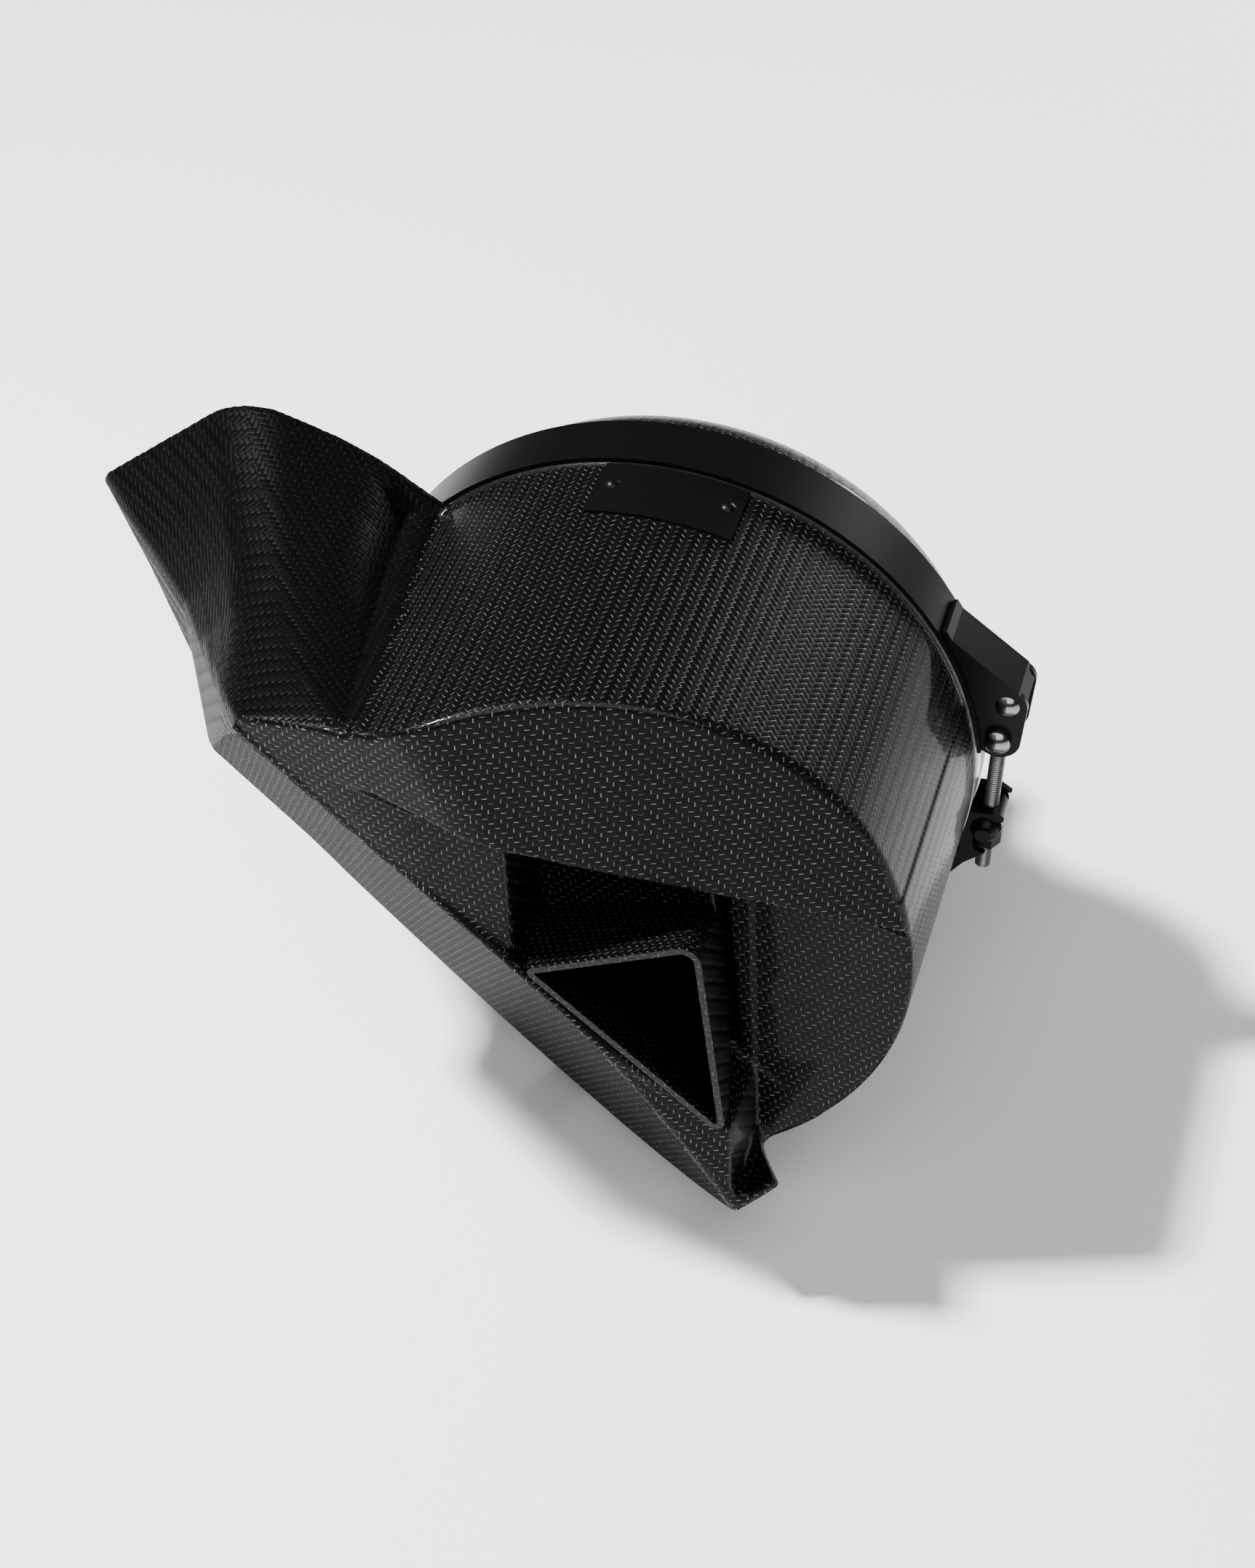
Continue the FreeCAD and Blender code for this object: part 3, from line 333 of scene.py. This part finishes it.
def lay_cloth(piece):
    """Lays the weave on a piece in millimetres: on the bias round the drum, square or biased on each face."""
    mesh = piece.data
    count = len(mesh.polygons)
    centre = np.empty(count * 3)
    normal = np.empty(count * 3)
    mesh.polygons.foreach_get("center", centre)
    mesh.polygons.foreach_get("normal", normal)
    centre = centre.reshape(-1, 3) * 1000 - (0, BAND_FRONT, 0)
    normal = normal.reshape(-1, 3)
    points = np.empty(len(mesh.vertices) * 3)
    mesh.vertices.foreach_get("co", points)
    points = points.reshape(-1, 3) * 1000 - (0, BAND_FRONT, 0)
    loops = np.empty(len(mesh.loops), int)
    mesh.loops.foreach_get("vertex_index", loops)
    totals = np.empty(count, int)
    mesh.polygons.foreach_get("loop_total", totals)
    owner = np.repeat(np.arange(count), totals)
    radius = np.hypot(centre[:, 0], centre[:, 2])
    outward = (centre[:, 0] * normal[:, 0] + centre[:, 2] * normal[:, 2]) / np.maximum(radius, 1)
    round_wall = (np.abs(outward) > 0.75) & (np.abs(radius - DRUM_R) < 6)
    scores = np.stack([np.abs(normal @ unit(n)) if n[1] == 0 else normal @ unit(n) for n, _, _ in CLOTH])
    choice = scores.argmax(0)
    u_axis = np.array([u for _, u, _ in CLOTH])[choice][owner]
    v_axis = np.array([v for _, _, v in CLOTH])[choice][owner]
    at = points[loops]
    u = (at * u_axis).sum(1)
    v = (at * v_axis).sum(1)
    middle = np.arctan2(centre[:, 0], centre[:, 2])[owner]
    turn = np.arctan2(at[:, 0], at[:, 2])
    turn = middle + (turn - middle + np.pi) % (2 * np.pi) - np.pi
    along = DRUM_R * turn
    on_wall = round_wall[owner]
    u = np.where(on_wall, (along + at[:, 1]) * 0.7071, u)
    v = np.where(on_wall, (along - at[:, 1]) * 0.7071, v)
    layer = mesh.uv_layers.get("cloth") or mesh.uv_layers.new(name="cloth")
    layer.data.foreach_set("uv", np.column_stack([u, v]).ravel().astype(np.float32))


def linear(code):
    """A hex colour as linear RGBA."""
    parts = [int(code[i:i + 2], 16) / 255 for i in (0, 2, 4)]
    return tuple(c / 12.92 if c <= 0.04045 else ((c + 0.055) / 1.055) ** 2.4 for c in parts) + (1.0,)


def add(tree, kind, inputs=None, **settings):
    """Adds a node with its settings; inputs are values or the sockets to link."""
    made = tree.nodes.new(kind)
    for name, value in settings.items():
        setattr(made, name, value)
    for name, value in (inputs or {}).items():
        if isinstance(value, bpy.types.NodeSocket):
            tree.links.new(value, made.inputs[name])
        else:
            made.inputs[name].default_value = value
    return made


def calc(tree, operation, a, b=0.0, c=0.0):
    """One arithmetic step of a node tree."""
    return add(tree, "ShaderNodeMath", {0: a, 1: b, 2: c}, operation=operation).outputs[0]


def surface(name, inputs):
    """A material with one principled surface."""
    material = bpy.data.materials.new(name)
    material.use_nodes = True
    tree = material.node_tree
    tree.nodes.clear()
    skin = add(tree, "ShaderNodeBsdfPrincipled", inputs)
    add(tree, "ShaderNodeOutputMaterial", {"Surface": skin.outputs[0]})
    return material, tree, skin


def twill_carbon(name, tow, coat, gloss, painted_glint_colour):
    """Black two-by-two twill: each float dives at its ends, and there its base colour is painted lighter, a
    painted highlight for the light that the dive catches.

    The coat is the clear coat's weight, the gloss is how far the cloth itself shines, and the painted glint
    colour is the colour of that painted highlight.
    """
    material, tree, skin = surface(name, {"Roughness": 0.42, "Anisotropic": 0.5, "Specular IOR Level": gloss,
                                          "Coat Weight": coat, "Coat Roughness": 0.04, "Coat IOR": 1.4})
    cloth = add(tree, "ShaderNodeUVMap", uv_map="cloth")
    split = add(tree, "ShaderNodeSeparateXYZ", {0: cloth.outputs[0]})
    u = calc(tree, "DIVIDE", split.outputs[0], tow)
    v = calc(tree, "DIVIDE", split.outputs[1], tow)
    column = calc(tree, "FLOOR", u)
    row = calc(tree, "FLOOR", v)
    across_u = calc(tree, "FRACT", u)
    across_v = calc(tree, "FRACT", v)
    step = calc(tree, "FLOORED_MODULO", calc(tree, "ADD", column, row), 4.0)
    warp = calc(tree, "LESS_THAN", step, 1.5)
    warp_along = calc(tree, "MULTIPLY", calc(tree, "ADD", step, across_v), 0.5)
    weft_along = calc(tree, "MULTIPLY", calc(tree, "ADD", calc(tree, "SUBTRACT", step, 2.0), across_u), 0.5)
    along = calc(tree, "MULTIPLY_ADD", warp, calc(tree, "SUBTRACT", warp_along, weft_along), weft_along)
    across = calc(tree, "MULTIPLY_ADD", warp, calc(tree, "SUBTRACT", across_u, across_v), across_v)
    from_middle = calc(tree, "ABSOLUTE", calc(tree, "MULTIPLY_ADD", along, 2.0, -1.0))
    from_centre = calc(tree, "ABSOLUTE", calc(tree, "MULTIPLY_ADD", across, 2.0, -1.0))
    dive = calc(tree, "POWER", from_middle, 7.0)
    crown = calc(tree, "MULTIPLY", calc(tree, "POWER", from_centre, 3.0), 0.35)
    height = calc(tree, "SUBTRACT", 1.0, calc(tree, "ADD", dive, crown))
    cell = add(tree, "ShaderNodeCombineXYZ", {0: column, 1: row, 2: 0.0})
    chance = add(tree, "ShaderNodeTexWhiteNoise", {"Vector": cell.outputs[0]}, noise_dimensions="2D")
    # Painted highlight: the float ends get a lighter base colour, brighter or dimmer at random from cell to
    # cell.
    at_end = calc(tree, "LESS_THAN", along, 0.09)
    tip = calc(tree, "MULTIPLY", at_end, calc(tree, "LESS_THAN", from_centre, 0.8))
    painted_glint = calc(tree, "MULTIPLY", tip, calc(tree, "MULTIPLY_ADD", chance.outputs["Value"], 0.7, 0.3))
    colour = add(tree, "ShaderNodeMix", data_type="RGBA",
                 inputs={0: painted_glint, 6: linear("050506"), 7: linear(painted_glint_colour)})
    tree.links.new(colour.outputs[2], skin.inputs["Base Color"])
    relief = add(tree, "ShaderNodeBump", {"Strength": 1.0, "Distance": 0.00022, "Height": height})
    tree.links.new(relief.outputs[0], skin.inputs["Normal"])
    print_through = add(tree, "ShaderNodeBump", {"Strength": 1.0, "Distance": 0.000012, "Height": height})
    tree.links.new(print_through.outputs[0], skin.inputs["Coat Normal"])
    tangent = add(tree, "ShaderNodeTangent", direction_type="UV_MAP", uv_map="cloth")
    tree.links.new(tangent.outputs[0], skin.inputs["Tangent"])
    tree.links.new(calc(tree, "MULTIPLY", warp, 0.25), skin.inputs["Anisotropic Rotation"])
    return material


def dress(piece, material):
    """Gives a whole piece one material."""
    piece.data.materials.clear()
    piece.data.materials.append(material)


TOW = 2.0                 # width of one tow, millimetres
# Four copies of one twill that differ in coat, gloss and painted glint colour. The main copy's glints are a
# painted highlight. The lighter glints of the satin copy on faces turned down, and of the thin-coated copy on
# faces turned to the front, are painted light. The near-black glints of the copy on the scoop's top are
# painted shade.
carbon = twill_carbon("clear-coated black carbon twill", TOW, 0.22, 0.06, "464648")
satin_carbon_painted_light = twill_carbon("satin black carbon twill with painted light", TOW, 0.0, 0.004, "5a5a5c")
carbon_painted_shade = twill_carbon("black carbon twill with painted shade", TOW, 0.0, 0.02, "141415")
face_carbon_painted_light = twill_carbon("thin-coated black carbon twill with painted light", TOW, 0.07, 0.04, "68686a")
# Bounds of the scoop's faces that take the copy with painted shade.
SCOOP_RIGHT_X = -60
SCOOP_FRONT_Y = -139
dress(body, carbon)
for material in (satin_carbon_painted_light, carbon_painted_shade, face_carbon_painted_light):
    body.data.materials.append(material)
lay_cloth(body)
# Each face takes a copy by the way it faces. Faces turned down take the satin copy with lighter painted
# glints. The scoop's outer faces take the copy with painted shade. Faces turned to the front take the
# thin-coated copy with lighter painted glints. All others take the main copy.
for p in body.data.polygons:
    at = p.center * 1000
    behind_face = at.x < SCOOP_RIGHT_X and at.y - BAND_FRONT > SCOOP_FRONT_Y
    scoop = behind_face and math.hypot(at.x, at.z) > DRUM_R + 2
    p.material_index = 1 if p.normal.z < -0.25 else 2 if scoop else 3 if p.normal.y < -0.85 else 0
    p.use_smooth = True
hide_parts("drum_upper_shell", "drum_lower_shell", "front_plate", "chin_panel", "front_cowl",
            "cheek_panel", "scoop_top_shell", "scoop_under_shell", "valley_bead")
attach(body, "housing")

# ---------------------------------------------------------------------------------------------------
# Rear cover and inlet duct: two more carbon mouldings in the same cloth and clear coat. The cover closes the
# drum under the band, and the duct is bonded into the front.
for name in ("rear_cover", "inlet_duct"):
    dress(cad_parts[name], carbon)
    lay_cloth(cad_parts[name])

# ---------------------------------------------------------------------------------------------------
# Clamp: a bent band of coated steel with riveted brackets. A swinging bolt in zinc-plated steel pulls it
# shut, and its thread has a pitch of one millimetre.
BOLT_LEAN = 0.078         # sideways lean of the bolt for each unit of height
THREAD_DEPTH = 0.0009


def dress_all(names, material):
    """Gives one material to the frame's pieces with these names."""
    for name in names:
        dress(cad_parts[name], material)


black_steel, _, _ = surface("satin black coated steel", {"Base Color": linear("060607"), "Roughness": 0.34,
                                                         "Specular IOR Level": 0.1})
bright_steel, _, _ = surface("zinc-plated steel", {"Base Color": linear("7c7d80"), "Metallic": 1.0,
                                                   "Roughness": 0.22})
bolt, tree, skin = surface("zinc-plated steel thread", {"Base Color": linear("77787b"), "Metallic": 1.0,
                                                        "Roughness": 0.3})
place = add(tree, "ShaderNodeTexCoord")
spot = add(tree, "ShaderNodeSeparateXYZ", {0: place.outputs["Object"]})
along_bolt = calc(tree, "MULTIPLY_ADD", spot.outputs[0], BOLT_LEAN, spot.outputs[2])
turns = calc(tree, "MULTIPLY", along_bolt, 1000.0)
ridge = calc(tree, "PINGPONG", turns, 0.5)
thread = add(tree, "ShaderNodeBump", {"Strength": 1.0, "Distance": THREAD_DEPTH, "Height": ridge})
tree.links.new(thread.outputs[0], skin.inputs["Normal"])
dress_all(["clamp_band", "upper_bracket", "lower_bracket", "bolt_barrel", "clamp_nut"], black_steel)
dress_all(["bracket_rivet", "pin_caps"], bright_steel)
dress_all(["t_bolt"], bolt)

# ---------------------------------------------------------------------------------------------------
# Joint ring, outlet and stays: aluminium, the ring and the spigot turned and the stays cut from sheet. Zinc
# screws and nuts hold the outlet, and sleeves line the stays' rubber grommets.
aluminium, _, _ = surface("turned aluminium", {"Base Color": linear("c4c6c9"), "Metallic": 1.0,
                                               "Roughness": 0.3})
dress_all(["drum_rim", "outlet_spigot", "stay_right", "stay_left", "stay_rivets"], aluminium)
dress_all(["outlet_screws", "outlet_nuts", "stay_sleeve_right", "stay_sleeve_left"], bright_steel)

# ---------------------------------------------------------------------------------------------------
# Seals, grommets and the filter's two ends: moulded black rubber, pressed between the parts that they seal.
rubber, _, _ = surface("matt black rubber", {"Base Color": linear("151515"), "Roughness": 0.8})
dress_all(["joint_seal", "outlet_gasket", "stay_grommet_right", "stay_grommet_left"], rubber)
dress_all(["filter_base", "filter_end_cap"], rubber)

# ---------------------------------------------------------------------------------------------------
# Filter: pleats of oiled cotton gauze round a steel mesh, drawn onto the spigot by a small hose clamp.
medium, _, _ = surface("oiled red cotton gauze", {"Base Color": linear("6e1a14"), "Roughness": 0.75})
dress_all(["filter_pleats"], medium)
dress_all(["filter_inner_mesh", "filter_clamp_band"], bright_steel)
dress_all(["filter_clamp_housing", "filter_clamp_screw"], bright_steel)

# ---------------------------------------------------------------------------------------------------
# Badge: a blank black anodised plate on the drum, held by two black rivets.
badge, _, _ = surface("black anodised plate", {"Base Color": linear("060607"), "Roughness": 0.3,
                                               "Specular IOR Level": 0.2})
dress_all(["badge_plate"], badge)
dress_all(["badge_rivets"], black_steel)

# ---------------------------------------------------------------------------------------------------
# Studio: a pale paper floor under the housing, a small key light, a broad fill, a light behind the cover and
# the camera.
CAMERA_AT = (281.3, -917.6, 807.3)
CAMERA_RIGHT = (0.96099683, 0.27342695, -0.04150647)
CAMERA_DOWN = (0.14998517, -0.6413638, -0.752434)
CAMERA_LENS = 75.14

right = Vector(CAMERA_RIGHT)
up = -Vector(CAMERA_DOWN)
back = right.cross(up)
turn = Matrix((right, up, back)).transposed()
camera_data = bpy.data.cameras.new("camera")
camera_data.sensor_fit = "VERTICAL"
camera_data.sensor_height = 36.0
camera_data.lens = CAMERA_LENS
camera_data.clip_end = 20.0
camera = bpy.data.objects.new("camera", camera_data)
camera.matrix_world = Matrix.Translation(Vector(in_frame(CAMERA_AT))) @ turn.to_4x4()
bpy.context.scene.collection.objects.link(camera)
bpy.context.scene.camera = camera

FLOOR_SIZE = 12
bpy.ops.mesh.primitive_plane_add(size=FLOOR_SIZE, location=(0, 0, cad_bounds[0][2]))
floor = bpy.context.object
floor.name = "floor"
paper, _, _ = surface("white paper", {"Base Color": linear("f4f4f4"), "Roughness": 0.9})
dress(floor, paper)


LIT_POINT = (0, -0.15, 0)


def softbox(name, direction, distance, size, power):
    """A square area light that looks at the housing from a direction."""
    light = bpy.data.lights.new(name, "AREA")
    light.size = size
    light.energy = power
    piece = bpy.data.objects.new(name, light)
    way = Vector(direction).normalized()
    piece.location = way * distance + Vector(LIT_POINT)
    piece.rotation_euler = way.to_track_quat("Z", "Y").to_euler()
    bpy.context.scene.collection.objects.link(piece)


softbox("key", (-0.45, -0.10, 0.89), 2.2, 0.20, 190)
softbox("fill", (0.25, -0.60, 0.76), 2.6, 2.2, 60)
softbox("rear", (0.33, 0.93, 0.13), 1.6, 0.35, 12)
world = bpy.data.worlds.new("world")
bpy.context.scene.world = world
world.use_nodes = True
world.node_tree.nodes["Background"].inputs[0].default_value = (0.02, 0.02, 0.02, 1)
world.node_tree.nodes["Background"].inputs[1].default_value = 1.0
